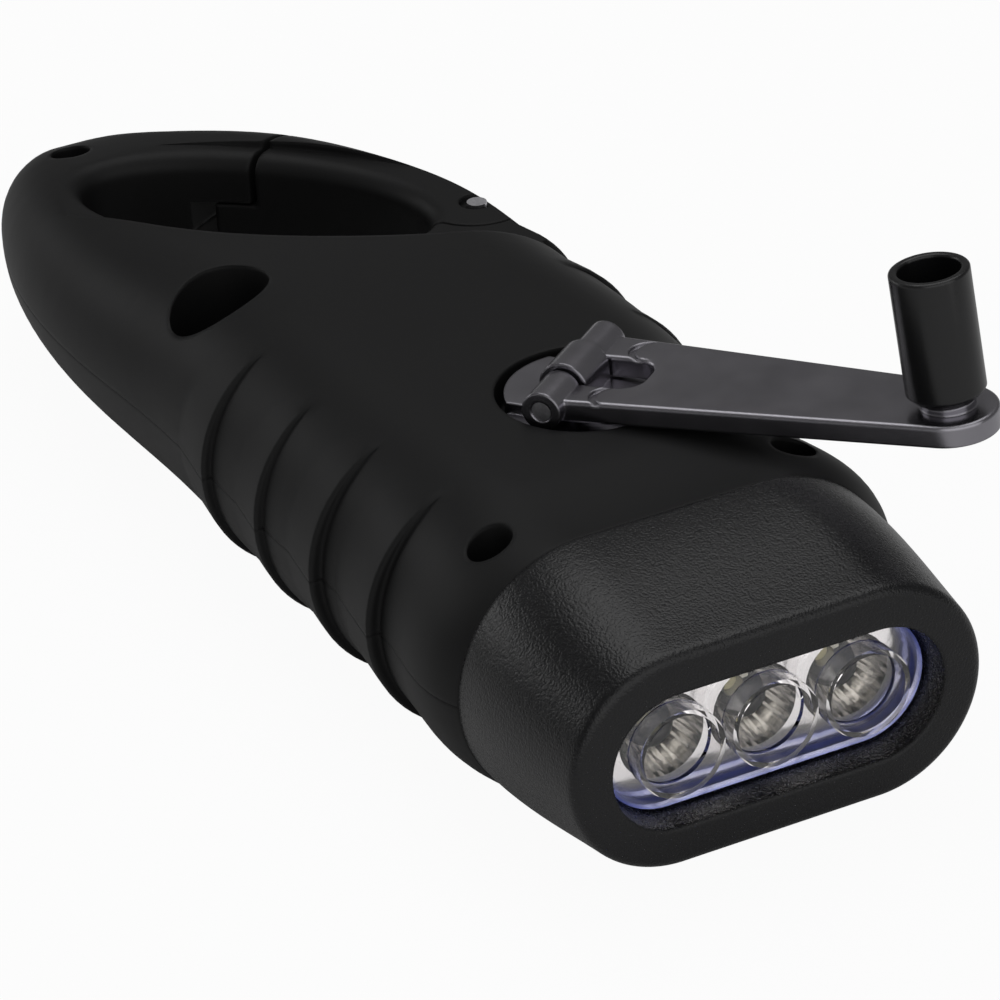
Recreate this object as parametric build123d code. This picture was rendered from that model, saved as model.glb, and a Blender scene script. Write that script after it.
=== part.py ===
"""Hand crank flashlight with a carabiner tail, as separate pieces that fit together.

Frame: +X points out of the lamp head, +Y to the side of the carabiner gate, +Z up (crank side).
The origin lies on the flat underside, below the middle of the grip.
"""
from build123d import *
import os
from math import cos, pi, radians, sin, sqrt

# ---------------------------------------------------------------- driving dimensions (mm)
FIT_GAP = 0.35            # gap between pieces that move past each other
RUN_FIT = 0.06            # radial running fit of a shaft in its bore
WALL = 2.0                # shell wall

MID_Z = 14.7              # parting plane of the two shells, and height of the lens axis
JOINT_X = 30.4            # where the head slips on
FRONT_X = 50.0            # front rim of the head
GRIP_HALF_WIDTH = 24.7
GRIP_HALF_HEIGHT = 14.7

# stations of the housing: x, middle y, half width, half height
BODY_STATIONS = [
    (JOINT_X, 0.0, 23.8, 14.2),
    (18.0, 0.0, 24.4, 14.7),
    (-5.0, 0.0, GRIP_HALF_WIDTH, GRIP_HALF_HEIGHT),
    (-24.0, 0.0, 24.9, 14.4),
    (-40.0, -0.3, 24.8, 13.3),
    (-54.0, -0.9, 25.2, 11.8),
    (-68.0, -2.9, 23.1, 10.8),
    (-80.0, -5.4, 18.8, 9.7),
    (-88.0, -8.4, 13.4, 8.6),
    (-92.0, -10.0, 10.1, 7.6),
    (-95.0, -11.6, 6.3, 5.8),
    (-97.0, -12.7, 2.9, 2.7),
]

RIB_COUNT = 5             # on both sides, and one more on the gate's side only
RIB_FIRST_X = -23.8       # crest of the rib nearest the tail
RIB_PITCH = 12.6
RIB_RISE_LENGTH = 9.6     # from the sunken rear edge to the crest
RIB_SIDE_HEIGHT = 0.95    # how far a crest stands out at the side
RIB_TOP_SINK = 0.6        # how far its top lies below the flat top, so that it fades out

# carabiner loop
LOOP_CENTRE = (-63.5, -0.9)
LOOP_ANGLE = 40.0
LOOP_HALF_LENGTH = 20.8
LOOP_HALF_WIDTH = 9.6
LOOP_EDGE_RADIUS = 2.2
FACET_SHIFT = 5.0         # the flat round the loop reaches further towards the head
FACET_HALF_LENGTH = 33.0
FACET_HALF_WIDTH = 13.1
FACET_HALF_HEIGHT = 9.4
GATE_PIN_AT = (-49.2, 19.4)
GATE_PIN_RADIUS = 1.1
GATE_KNUCKLE_RADIUS = 5.9
GATE_SEAM_X = -46.9
GATE_SEAM_REACH = 29.0    # pin to the middle of the seam between nose and hook
GATE_SEAM_GAP = 0.8
GATE_TONGUE_REACH = 33.4  # the lower half of the nose reaches under the fixed hook
GATE_TONGUE_ROOM = 2.8
LAP_Z = 18.2

# wells and screws
WAIST_WELL = (-39.0, -16.0)
WAIST_WELL_RADIUS = 5.4
WAIST_WELL_FLOOR = 15.9
HEAD_WELLS = [(24.4, -16.6), (24.4, 16.6)]
HEAD_WELL_RADIUS = 2.25
HEAD_WELL_FLOOR = 20.5
HEAD_BOSS_RADIUS = 3.6
TAIL_WELL = (-88.3, -12.4)
TAIL_WELL_RADIUS = 2.3
TAIL_WELL_FLOOR = 19.0
SCREW_RADIUS = 1.25
SCREW_HEAD_RADIUS = 2.1
SCREW_HEAD_HEIGHT = 1.5

# crank
HUB_AT = (4.9, 4.3)
HUB_RADIUS = 8.2
HUB_RECESS_RADIUS = 9.2
HUB_RECESS_DEPTH = 3.4
HINGE_Z = 30.6            # height of the arm's hinge pin
CRANK_AZIMUTH = 38.2
HINGE_BACK = 1.2          # hinge pin behind the middle of the hub
ARM_TILT = 3.7            # the arm's stop holds it this far above level
ARM_LIFT = 0.8            # its top face lies this far above the pin's centre
ARM_THICKNESS = 2.2
ARM_REACH = 39.5          # hinge pin to knob axis
ARM_ROOT_SIDES = (-7.1, 7.9)
ARM_TIP_RADIUS = 4.9
BARREL_RADIUS = 2.05
KNUCKLE_RADIUS = 2.6
KNUCKLE_HALF_WIDTH = 2.75
HINGE_HALF_WIDTH = 8.2
NOTCH_END = 8.1
ARM_PIN_RADIUS = 1.0
KNOB_RADIUS = 3.95
KNOB_BORE_RADIUS = 3.05
KNOB_LEAN = 3.5           # its axis leans back towards the hub
KNOB_TOP = 15.2
KNOB_BOTTOM = 1.6
KNOB_FLOOR = 4.1
RIVET_RADIUS = 1.4

# gear train
MODULE = 0.5
DRIVE_TEETH = 48
WHEEL_TEETH = 40
PINION_TEETH = 10
GEAR_BACKLASH = 0.16
STAGE_ONE_ANGLE = 200.0   # from the hub to the first wheel, in plan
STAGE_TWO_ANGLE = 150.0   # from the first wheel to the second
ROTOR_ANGLE = 262.0       # from the second wheel to the rotor
DRIVE_Z = (21.6, 23.8)
WHEEL_ONE_Z = (18.6, 20.6)
WHEEL_TWO_Z = (15.6, 17.6)
PLATE_Z = (12.4, 14.0)
AXLE_RADIUS = 0.75
MAGNET_RADIUS = 5.6
MAGNET_Z = (4.8, 11.6)

# lamp head
HEAD_HALF_WIDTH = 21.95
HEAD_HALF_HEIGHT = 11.3
OPENING_HALF_WIDTH = 17.85
OPENING_HALF_HEIGHT = 7.2
LAMP_PITCH = 10.0
LAMP_OFFSETS = (-LAMP_PITCH, 0.0, LAMP_PITCH)
BOSS_RADIUS = 4.6
BOSS_BORE_RADIUS = 4.05
LENS_X = (45.2, 46.8)
BOSS_FRONT_X = 49.0
REFLECTOR_X = (38.4, 43.8)
LAMP_RADIUS = 2.5

BUTTON_AT = (14.0, 0.0)
BUTTON_HALF_LENGTH = 6.0
BUTTON_HALF_WIDTH = 4.0
BUTTON_GAP = 0.25
BUTTON_FACE_Z = 0.3       # the face lies this far inside the resting plane
BOARD_X = (-3.0, 28.0)
BOARD_HALF_WIDTH = 9.0
BOARD_Z = (6.8, 8.0)
BATTERY_AT = (14.0, -1.0)

# ---------------------------------------------------------------- derived sizes
TOP_Z = MID_Z + GRIP_HALF_HEIGHT
NECK_HALF_WIDTH = 21.5
NECK_HALF_HEIGHT = 11.9
NECK_WALL = 1.8
NECK_FRONT_X = JOINT_X + 3.4
INNER_REAR_X = -31.5
LAMP_BOARD_X = (34.0, 35.6)
LAMP_DOME_X = 40.9
FLANGE_HALF_WIDTH = 19.3
FLANGE_HALF_HEIGHT = 9.0
HUB_BOSS_Z = 24.3
HUB_SHAFT_RADIUS = 3.0
HUB_DISC_TOP = 28.15
HUB_SCREW_RADIUS = 0.8
LUG_RADIUS = 4.6
LUG_HALF_HEIGHT = 3.6
GATE_SPRING_RADIUS = 2.2
GATE_SPRING_WIRE = 0.25
GATE_SPRING_Z = (6.4, 9.4)
AXLE_ONE_TOP = 26.2
AXLE_TWO_TOP = 23.4
PINION_ONE_TOP = 24.0
PINION_TWO_TOP = 20.8
ROTOR_SHAFT_RADIUS = 0.6
STATOR_RADIUS = 9.2
STATOR_Z = (4.2, 12.2)
STATOR_CLAWS = 8
PLATE_POSTS = [(-6.0, -15.4), (-6.0, 15.4), (12.0, -14.8), (12.0, 14.8)]
PLATE_SCREW_RADIUS = 0.9
PLATE_SCREW_TIP = 7.0
STAGE_ONE_REACH = MODULE * (DRIVE_TEETH + PINION_TEETH) / 2
STAGE_REACH = MODULE * (WHEEL_TEETH + PINION_TEETH) / 2
HOUSING_SCREWS = [
    (WAIST_WELL, WAIST_WELL_FLOOR, 5.5),
    (HEAD_WELLS[0], HEAD_WELL_FLOOR, 6.0),
    (HEAD_WELLS[1], HEAD_WELL_FLOOR, 6.0),
    (TAIL_WELL, TAIL_WELL_FLOOR, 9.5),
]


def polar(start, distance, angle):
    """Plan point at a distance and angle from another."""
    return (start[0] + distance * cos(radians(angle)), start[1] + distance * sin(radians(angle)))


STAGE_ONE_AT = polar(HUB_AT, STAGE_ONE_REACH, STAGE_ONE_ANGLE)
STAGE_TWO_AT = polar(STAGE_ONE_AT, STAGE_REACH, STAGE_TWO_ANGLE)
ROTOR_AT = polar(STAGE_TWO_AT, STAGE_REACH, ROTOR_ANGLE)


# ---------------------------------------------------------------- helpers
def stadium(x, half_width, half_height, y_mid=0.0):
    """Flat-topped section with full-round sides, square to X."""
    plane = Plane(origin=(x, y_mid, MID_Z), x_dir=(0, 1, 0), z_dir=(1, 0, 0))
    return plane * SlotOverall(2 * half_width, 2 * half_height)


def stadium_bar(x0, x1, half_width, half_height):
    """Straight bar with a stadium section between two x values."""
    return extrude(stadium(x0, half_width, half_height), amount=x1 - x0, dir=(1, 0, 0))


def upright(at, radius, z0, z1):
    """Upright cylinder at a plan position, between two heights."""
    return Pos(at[0], at[1], (z0 + z1) / 2) * Cylinder(radius, z1 - z0)


def block(x0, x1, y0, y1, z0, z1):
    """Box between corner values."""
    centre = Pos((x0 + x1) / 2, (y0 + y1) / 2, (z0 + z1) / 2)
    return centre * Box(x1 - x0, y1 - y0, z1 - z0)


def along_x(radius, x0, x1, y=0.0, z=MID_Z):
    """Cylinder along X."""
    return Pos((x0 + x1) / 2, y, z) * Rot(0, 90, 0) * Cylinder(radius, x1 - x0)


# ---------------------------------------------------------------- housing
def housing_block():
    """Outer form of the grip and tail, with its gill ribs, before it is hollowed."""
    form = loft([stadium(x, w, h, y) for x, y, w, h in BODY_STATIONS])
    for index in range(RIB_COUNT):
        crest = RIB_FIRST_X + index * RIB_PITCH
        form += gill_rib(crest)
    return form + (gill_rib(RIB_FIRST_X - RIB_PITCH) & block(-60, 0, 8, 40, 0, 40))


def body_section(x):
    """Middle y, half width and half height of the plain body at x, between its stations."""
    for (xa, *start), (xb, *end) in zip(BODY_STATIONS, BODY_STATIONS[1:]):
        if xb <= x <= xa:
            t = (x - xb) / (xa - xb)
            return [b + t * (a - b) for a, b in zip(start, end)]
    raise ValueError(x)


def gill_rib(crest):
    """One rib round both sides: a gentle rise from the rear and a sharp step facing the head."""
    rear = crest - RIB_RISE_LENGTH
    rear_mid, rear_width, rear_height = body_section(rear)
    mid, width, height = body_section(crest)
    height -= RIB_TOP_SINK
    sections = [
        stadium(rear, rear_width - 0.35, rear_height - RIB_TOP_SINK, rear_mid),
        stadium(crest - 1.6, width + 0.85 * RIB_SIDE_HEIGHT, height, mid),
        stadium(crest - 0.3, width + RIB_SIDE_HEIGHT, height, mid),
        stadium(crest, width + 0.7 * RIB_SIDE_HEIGHT, height, mid),
    ]
    return loft(sections, ruled=True)


def loop_ellipse(half_length, half_width, shift=0.0):
    """Ellipse on the carabiner loop's slanted axis."""
    centre = polar(LOOP_CENTRE, shift, LOOP_ANGLE)
    return Pos(centre[0], centre[1], 0) * Rot(0, 0, LOOP_ANGLE) * Ellipse(half_length, half_width)


def tail_cuts(form):
    """Flat facets round the loop, above and below, and the loop itself with rounded lips."""
    facet = loop_ellipse(FACET_HALF_LENGTH, FACET_HALF_WIDTH, FACET_SHIFT)
    form -= Pos(0, 0, MID_Z + FACET_HALF_HEIGHT) * extrude(facet, amount=10)
    form -= Pos(0, 0, MID_Z - FACET_HALF_HEIGHT - 10) * extrude(facet, amount=10)
    loop = extrude(loop_ellipse(LOOP_HALF_LENGTH, LOOP_HALF_WIDTH), amount=40)
    form -= loop
    lips = [edge for edge in form.edges() if is_loop_lip(edge)]
    return fillet(lips, LOOP_EDGE_RADIUS)


def is_loop_lip(edge):
    """True for the edges where the loop meets the facets."""
    middle = edge.center(CenterOf.BOUNDING_BOX)
    on_facet = abs(abs(middle.Z - MID_Z) - FACET_HALF_HEIGHT) < 0.01
    return on_facet and (Vector(middle.X, middle.Y) - Vector(*LOOP_CENTRE)).length < 3


def gate_region(clearance):
    """Plan region of the gate, grown by a clearance, as a solid over the full height.

    Its nose is an arc about the hinge pin, so that it swings past the fixed hook.
    """
    share = clearance / FIT_GAP
    pin_x, pin_y = GATE_PIN_AT
    upper_reach = GATE_SEAM_REACH + GATE_SEAM_GAP * (share - 0.5)
    lower_reach = GATE_TONGUE_REACH + GATE_TONGUE_ROOM * share
    swept = upright(GATE_PIN_AT, upper_reach, -5, 40)
    swept += upright(GATE_PIN_AT, lower_reach, -5, LAP_Z + clearance)
    outer_part = block(-110, GATE_SEAM_X + clearance, pin_y, 40, -5, 40)
    inner_part = block(-110, pin_x + clearance, -30, pin_y, -5, 40)
    swept &= outer_part + inner_part
    swept += upright(GATE_PIN_AT, GATE_KNUCKLE_RADIUS + clearance, -5, 40)
    return swept - near_wall_region()


def near_wall_region():
    """Plan region on the spine side of the loop's long axis, which the gate never reaches."""
    axis = Vector(cos(radians(LOOP_ANGLE)), sin(radians(LOOP_ANGLE)))
    side = Vector(axis.Y, -axis.X)
    centre = Vector(*LOOP_CENTRE) + side * 2.5
    start = centre - axis * 60
    end = centre + axis * 21.5
    outline = Polyline(start, end, end + side * 60, start + side * 60, close=True)
    return Pos(0, 0, -5) * extrude(make_face(outline), amount=50)


def outer_body():
    """Whole outer form with loop, wells and hub recess."""
    form = tail_cuts(housing_block())
    form -= upright(WAIST_WELL, WAIST_WELL_RADIUS, WAIST_WELL_FLOOR, 40)
    for at in HEAD_WELLS:
        form -= upright(at, HEAD_WELL_RADIUS, HEAD_WELL_FLOOR, 40)
    form -= upright(TAIL_WELL, TAIL_WELL_RADIUS, TAIL_WELL_FLOOR, 40)
    form -= upright(HUB_AT, HUB_RECESS_RADIUS, TOP_Z - HUB_RECESS_DEPTH, 40)
    return form & block(-120, 60, -40, 40, 0, TOP_Z)


def inner_space():
    """Room inside the grip, open to the head through the neck."""
    sections = [
        stadium(NECK_FRONT_X + 2, NECK_HALF_WIDTH - NECK_WALL, NECK_HALF_HEIGHT - NECK_WALL),
        stadium(JOINT_X - 2, NECK_HALF_WIDTH - NECK_WALL, NECK_HALF_HEIGHT - NECK_WALL),
        stadium(JOINT_X - 6, 24.1 - WALL, 14.4 - WALL),
        stadium(-5, GRIP_HALF_WIDTH - WALL, GRIP_HALF_HEIGHT - WALL),
        stadium(-24, 24.7 - WALL, 14.3 - WALL),
        stadium(INNER_REAR_X, 19.0, 11.4),
    ]
    return loft(sections, ruled=True)


def neck():
    """Spigot in front of the joint that the head slips over."""
    return stadium_bar(JOINT_X, NECK_FRONT_X, NECK_HALF_WIDTH, NECK_HALF_HEIGHT)


def gate_pin():
    """Steel pin of the carabiner gate."""
    return upright(GATE_PIN_AT, GATE_PIN_RADIUS, MID_Z - 9.2, MID_Z + 9.4)


def screw(at, seat, tip):
    """Pan head screw that stands upright, head up on its seat."""
    form = upright(at, SCREW_HEAD_RADIUS, seat, seat + SCREW_HEAD_HEIGHT)
    form -= Pos(at[0], at[1], seat + SCREW_HEAD_HEIGHT) * Box(2.6, 0.6, 1.2)
    form -= Pos(at[0], at[1], seat + SCREW_HEAD_HEIGHT) * Box(0.6, 2.6, 1.2)
    return form + upright(at, SCREW_RADIUS, tip, seat)


def housing_shells(body):
    """Top and bottom shells, hollow in the grip and solid round the loop."""
    shell = body - inner_space() + (neck() - inner_space())
    for at in HEAD_WELLS:
        shell += upright(at, HEAD_BOSS_RADIUS, 1, TOP_Z - 1) & body
    shell += upright(WAIST_WELL, WAIST_WELL_RADIUS + 1.3, 1, TOP_Z - 1) & body
    shell += upright(HUB_AT, HUB_RECESS_RADIUS + 1.8, HUB_BOSS_Z, TOP_Z - 1) & body
    for at, low in ((STAGE_ONE_AT, AXLE_ONE_TOP - 1.4), (STAGE_TWO_AT, AXLE_TWO_TOP - 1.4)):
        shell += upright(at, 2.2, low, TOP_Z - 1) & body
    for at in PLATE_POSTS:
        shell += upright(at, 2.4, 1, PLATE_Z[0]) & body
    for post in board_posts():
        shell += post
    shell += upright(ROTOR_AT, 2.6, 1, MAGNET_Z[0] - 1.4)
    shell += stator_seat()
    shell -= gate_region(FIT_GAP)
    shell += gate_lug()
    shell -= gate_pin()
    shell -= upright(HUB_AT, HUB_SHAFT_RADIUS + RUN_FIT, 15, 40)
    shell -= upright(STAGE_ONE_AT, AXLE_RADIUS, PLATE_Z[0], AXLE_ONE_TOP)
    shell -= upright(STAGE_TWO_AT, AXLE_RADIUS, PLATE_Z[0], AXLE_TWO_TOP)
    shell -= upright(ROTOR_AT, ROTOR_SHAFT_RADIUS + RUN_FIT, 2.2, 10)
    for at, seat, tip in HOUSING_SCREWS:
        shell -= upright(at, SCREW_RADIUS, tip, seat)
    for at in PLATE_POSTS:
        shell -= upright(at, PLATE_SCREW_RADIUS, PLATE_SCREW_TIP, PLATE_Z[0])
    shell -= button_form(BUTTON_GAP, -1, WALL + 1)
    top = shell & block(-120, 60, -40, 40, MID_Z, 60)
    bottom = shell & block(-120, 60, -40, 40, -10, MID_Z)
    return top, bottom


def stator_seat():
    """Raised ring on the bottom shell that the stator stands on."""
    ring = upright(ROTOR_AT, STATOR_RADIUS, 1, STATOR_Z[0])
    return ring - upright(ROTOR_AT, STATOR_RADIUS - 1.6, 0, 10)


def gate_lug():
    """Eye between the two halves of the gate's knuckle that holds the pin."""
    x, y = GATE_PIN_AT
    low, high = MID_Z - LUG_HALF_HEIGHT, MID_Z + LUG_HALF_HEIGHT
    return upright(GATE_PIN_AT, LUG_RADIUS, low, high) + block(x, x + 7, y - 4, y + 4, low, high)


def carabiner_gate(body):
    """Sprung side of the loop, forked round the housing's eye, with a lapped nose."""
    gate = body & gate_region(0)
    slot_half = LUG_HALF_HEIGHT + FIT_GAP
    gate -= upright(GATE_PIN_AT, LUG_RADIUS + 2.1, MID_Z - slot_half, MID_Z + slot_half)
    gate -= upright(GATE_PIN_AT, GATE_PIN_RADIUS + RUN_FIT, -5, 40)
    gate -= upright(GATE_PIN_AT, GATE_PIN_RADIUS + 0.9, MID_Z + 8.6, 40)
    low, high = GATE_SPRING_Z
    gate -= upright(GATE_PIN_AT, GATE_SPRING_RADIUS + 0.8, low - 0.4, MID_Z - slot_half)
    return gate


def gate_spring():
    """Coil that closes the gate, round the pin in the lower half of the knuckle."""
    low, high = GATE_SPRING_Z
    turns = 3
    path = Helix(pitch=(high - low) / turns, height=high - low, radius=GATE_SPRING_RADIUS)
    wire = Plane(origin=path @ 0, z_dir=path % 0) * Circle(GATE_SPRING_WIRE)
    coil = sweep(wire, path=path, is_frenet=True)
    return Pos(GATE_PIN_AT[0], GATE_PIN_AT[1], low) * coil


# ---------------------------------------------------------------- crank
def at_crank(form):
    """Move a piece from the crank's own frame, at the middle of the hinge pin, to its place."""
    return Pos(HUB_AT[0], HUB_AT[1], HINGE_Z) * Rot(0, 0, CRANK_AZIMUTH) * form


def at_arm(form):
    """Move a piece from the arm's level frame to its place, tilted up to the stop."""
    return at_crank(Pos(-HINGE_BACK, 0, 0) * Rot(0, -ARM_TILT, 0) * form)


def on_knob_axis(form):
    """Move a piece that stands upright at the origin to the knob's place on the arm."""
    return Pos(ARM_REACH, 0, 0) * Rot(0, -KNOB_LEAN, 0) * form


def across(radius, half_length):
    """Cylinder along the hinge axis, in the crank's own frame."""
    return Rot(90, 0, 0) * Cylinder(radius, 2 * half_length)


def crank_hub():
    """Turning disc with the hinge knuckle on top and the drive shaft below."""
    low = HUB_DISC_TOP - HINGE_Z
    under = TOP_Z - HUB_RECESS_DEPTH + 0.3 - HINGE_Z
    high = TOP_Z - 0.1 - HINGE_Z
    disc = upright((0, 0), HUB_RADIUS, under, low)
    middle_band = block(-HUB_RADIUS, HUB_RADIUS - 0.8, -2.8, 2.8, under, high)
    rear_band = block(-HUB_RADIUS, -HINGE_BACK - 2.7, -5.2, 5.2, under, high)
    disc += (middle_band + rear_band) & upright((0, 0), HUB_RADIUS, under, high)
    shaft = upright((0, 0), HUB_SHAFT_RADIUS, DRIVE_Z[1] + 0.1 - HINGE_Z, under)
    shaft += flatted_shaft(DRIVE_Z[0] - HINGE_Z, DRIVE_Z[1] + 0.1 - HINGE_Z, 0)
    shaft -= upright((0, 0), HUB_SCREW_RADIUS, DRIVE_Z[0] - HINGE_Z, DRIVE_Z[1] - HINGE_Z)
    form = disc + shaft + Pos(-HINGE_BACK, 0, 0) * hub_knuckle(low)
    return at_crank(form - Pos(-HINGE_BACK, 0, 0) * across(ARM_PIN_RADIUS, 20))


def hub_knuckle(low):
    """Hinge eye that stands up from the disc between the arm's tines."""
    foot = block(-KNUCKLE_RADIUS, KNUCKLE_RADIUS, -KNUCKLE_HALF_WIDTH, KNUCKLE_HALF_WIDTH, low, 0)
    return foot + across(KNUCKLE_RADIUS, KNUCKLE_HALF_WIDTH)


def flatted_shaft(z0, z1, clearance):
    """Shaft end with two flats that drives the large gear."""
    half_flat = 1.5 + clearance
    round_part = upright((0, 0), 2.1 + clearance, z0, z1)
    return round_part & block(-3, 3, -half_flat, half_flat, z0, z1)


def hub_screw():
    """Screw under the large gear that holds the hub down."""
    head = upright((0, 0), 2.5, DRIVE_Z[0] - 1.2, DRIVE_Z[0])
    shank = upright((0, 0), HUB_SCREW_RADIUS, DRIVE_Z[0], DRIVE_Z[1] - 0.3)
    return Pos(HUB_AT[0], HUB_AT[1], 0) * (head + shank)


def arm_pin():
    """Steel hinge pin through the fork of the arm."""
    return at_crank(Pos(-HINGE_BACK, 0, 0) * across(ARM_PIN_RADIUS, HINGE_HALF_WIDTH - 0.1))


def crank_arm():
    """Tapered die-cast arm with a forked root and a collar under the knob."""
    near_side, far_side = ARM_ROOT_SIDES
    outline = Polyline(
        (0, near_side),
        (ARM_REACH, -ARM_TIP_RADIUS),
        (ARM_REACH, ARM_TIP_RADIUS),
        (0, far_side),
        close=True,
    )
    plan = make_face(outline) + Pos(ARM_REACH, 0) * Circle(ARM_TIP_RADIUS)
    plan -= RectangleRounded(2 * NOTCH_END, 2 * (KNUCKLE_HALF_WIDTH + FIT_GAP), 2.3)
    form = Pos(0, 0, ARM_LIFT) * extrude(plan, amount=-ARM_THICKNESS)
    form = fillet(form.edges().group_by(Axis.Z)[-1], 0.4)
    inner = KNUCKLE_HALF_WIDTH + FIT_GAP
    for side in (-1, 1):
        barrel = Rot(90, 0, 0) * Cylinder(BARREL_RADIUS, HINGE_HALF_WIDTH - inner)
        form += Pos(0, side * (HINGE_HALF_WIDTH + inner) / 2, 0) * barrel
        form -= finger_groove(side)
    form += on_knob_axis(upright((0, 0), 2.7, ARM_LIFT - 0.6, KNOB_BOTTOM - 0.1))
    form -= across(ARM_PIN_RADIUS + RUN_FIT, 20)
    form -= on_knob_axis(upright((0, 0), RIVET_RADIUS, -5, 5))
    return at_arm(form) - shell_clearance()


def shell_clearance():
    """Room that the arm's underside leaves over the hub disc and the shell's top."""
    over_disc = upright(HUB_AT, HUB_RECESS_RADIUS - 0.45, MID_Z, HUB_DISC_TOP + FIT_GAP)
    over_shell = upright(HUB_AT, 40, MID_Z, TOP_Z + FIT_GAP)
    return over_shell - upright(HUB_AT, HUB_RECESS_RADIUS - 0.45, 0, 40) + over_disc


def finger_groove(side):
    """Crescent groove cast into the arm behind each tine."""
    low = ARM_LIFT - 0.35
    ring = upright((5.8, side * 5.0), 1.9, low, ARM_LIFT + 1)
    return ring - upright((6.6, side * 5.0), 1.9, low, ARM_LIFT + 1)


def knob_rivet():
    """Rivet that the knob spins on, clenched under the arm."""
    under = ARM_LIFT - ARM_THICKNESS
    form = upright((0, 0), RIVET_RADIUS, under - 0.5, KNOB_FLOOR + 0.05)
    form += upright((0, 0), 2.4, KNOB_FLOOR + 0.05, KNOB_FLOOR + 0.95)
    form += upright((0, 0), 2.2, under - 0.75, under - 0.15)
    return at_arm(on_knob_axis(form))


def crank_knob():
    """Hollow knob, open at the top, with a chamfered foot."""
    form = upright((0, 0), KNOB_RADIUS, KNOB_BOTTOM, KNOB_TOP)
    form -= upright((0, 0), KNOB_BORE_RADIUS, KNOB_FLOOR, 30)
    form -= upright((0, 0), RIVET_RADIUS + RUN_FIT, -5, 30)
    foot = form.edges().group_by(Axis.Z)[0].sort_by(SortBy.LENGTH)[-1]
    form = chamfer(foot, 1.0)
    rim = form.edges().group_by(Axis.Z)[-1]
    return at_arm(on_knob_axis(fillet(rim, 0.3)))


# ---------------------------------------------------------------- gear train and generator
def gear(teeth, at, z0, z1, phase):
    """Spur gear with straight-flanked teeth; phase is the angle of one tooth's middle."""
    pitch_radius = MODULE * teeth / 2
    tip_radius = pitch_radius + 0.9 * MODULE
    root_radius = pitch_radius - 1.15 * MODULE
    half_tooth = pi / (2 * teeth) - GEAR_BACKLASH / (2 * pitch_radius)
    points = []
    for index in range(teeth):
        middle = radians(phase) + 2 * pi * index / teeth
        for radius, offset in (
            (root_radius, -1.4 * half_tooth),
            (tip_radius, -0.55 * half_tooth),
            (tip_radius, 0.55 * half_tooth),
            (root_radius, 1.4 * half_tooth),
        ):
            points.append((radius * cos(middle + offset), radius * sin(middle + offset)))
    outline = make_face(Polyline(*points, close=True))
    return Pos(at[0], at[1], z0) * extrude(outline, amount=z1 - z0)


def meshing_phase(teeth_a, phase_a, angle, teeth_b):
    """Phase of gear b so that it meshes with gear a, which lies at the opposite of angle."""
    share = ((angle - phase_a) / (360 / teeth_a)) % 1
    return angle + 180 + (share - 0.5) * 360 / teeth_b


def lightened(form, at, z0, z1, radius):
    """Recess a wheel's web from above, between hub and rim."""
    web = upright(at, radius, (z0 + z1) / 2, z1 + 1) - upright(at, 3.4, z0, z1 + 2)
    return form - web


def drive_gear():
    """Large gear on the hub shaft."""
    form = gear(DRIVE_TEETH, HUB_AT, *DRIVE_Z, 0)
    form = lightened(form, HUB_AT, *DRIVE_Z, 10.2)
    bore = Rot(0, 0, CRANK_AZIMUTH) * flatted_shaft(0, 40, 0.02)
    return form - Pos(HUB_AT[0], HUB_AT[1], 0) * bore


def stage_phases():
    """Tooth phases of both compound gears and of the rotor pinion."""
    one = meshing_phase(DRIVE_TEETH, 0, STAGE_ONE_ANGLE, PINION_TEETH)
    two = meshing_phase(WHEEL_TEETH, one, STAGE_TWO_ANGLE, PINION_TEETH)
    rotor = meshing_phase(WHEEL_TEETH, two, ROTOR_ANGLE, PINION_TEETH)
    return one, two, rotor


def compound_gear(at, wheel_z, pinion_top, phase):
    """Wheel with the next faster shaft's pinion on top, turning on a steel axle."""
    form = gear(WHEEL_TEETH, at, *wheel_z, phase)
    form = lightened(form, at, *wheel_z, 8.4)
    form += gear(PINION_TEETH, at, wheel_z[1] - 0.2, pinion_top, phase)
    return form - upright(at, AXLE_RADIUS + RUN_FIT, 0, 40)


def gear_plate():
    """Chassis plate that carries the axles above the generator."""
    low, high = PLATE_Z
    plan = Pos(-7, 0, low) * extrude(RectangleRounded(46, 35, 5), amount=high - low)
    plan += upright(STAGE_ONE_AT, 2.0, low, WHEEL_ONE_Z[0] - 0.3)
    plan += upright(STAGE_TWO_AT, 2.0, low, WHEEL_TWO_Z[0] - 0.3)
    plan -= block(5, 40, -9, 9, 0, 40)
    plan -= upright(STAGE_ONE_AT, AXLE_RADIUS, 0, 40)
    plan -= upright(STAGE_TWO_AT, AXLE_RADIUS, 0, 40)
    plan -= upright(ROTOR_AT, ROTOR_SHAFT_RADIUS + RUN_FIT, 0, 40)
    for at in PLATE_POSTS:
        plan -= upright(at, PLATE_SCREW_RADIUS, 0, 40)
    return plan & loft([
        stadium(-40, GRIP_HALF_WIDTH - WALL - 0.5, GRIP_HALF_HEIGHT - WALL - 0.5),
        stadium(40, GRIP_HALF_WIDTH - WALL - 0.5, GRIP_HALF_HEIGHT - WALL - 0.5),
    ])


def plate_screws():
    """Screws of the chassis plate, one on each post."""
    screws = []
    for at in PLATE_POSTS:
        head = upright(at, 1.9, PLATE_Z[1], PLATE_Z[1] + 1.1)
        screws.append(head + upright(at, PLATE_SCREW_RADIUS, PLATE_SCREW_TIP, PLATE_Z[1]))
    return screws


def rotor_magnet():
    """Ring magnet of the generator."""
    return upright(ROTOR_AT, MAGNET_RADIUS, *MAGNET_Z) - upright(ROTOR_AT, ROTOR_SHAFT_RADIUS, 0, 40)


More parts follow.
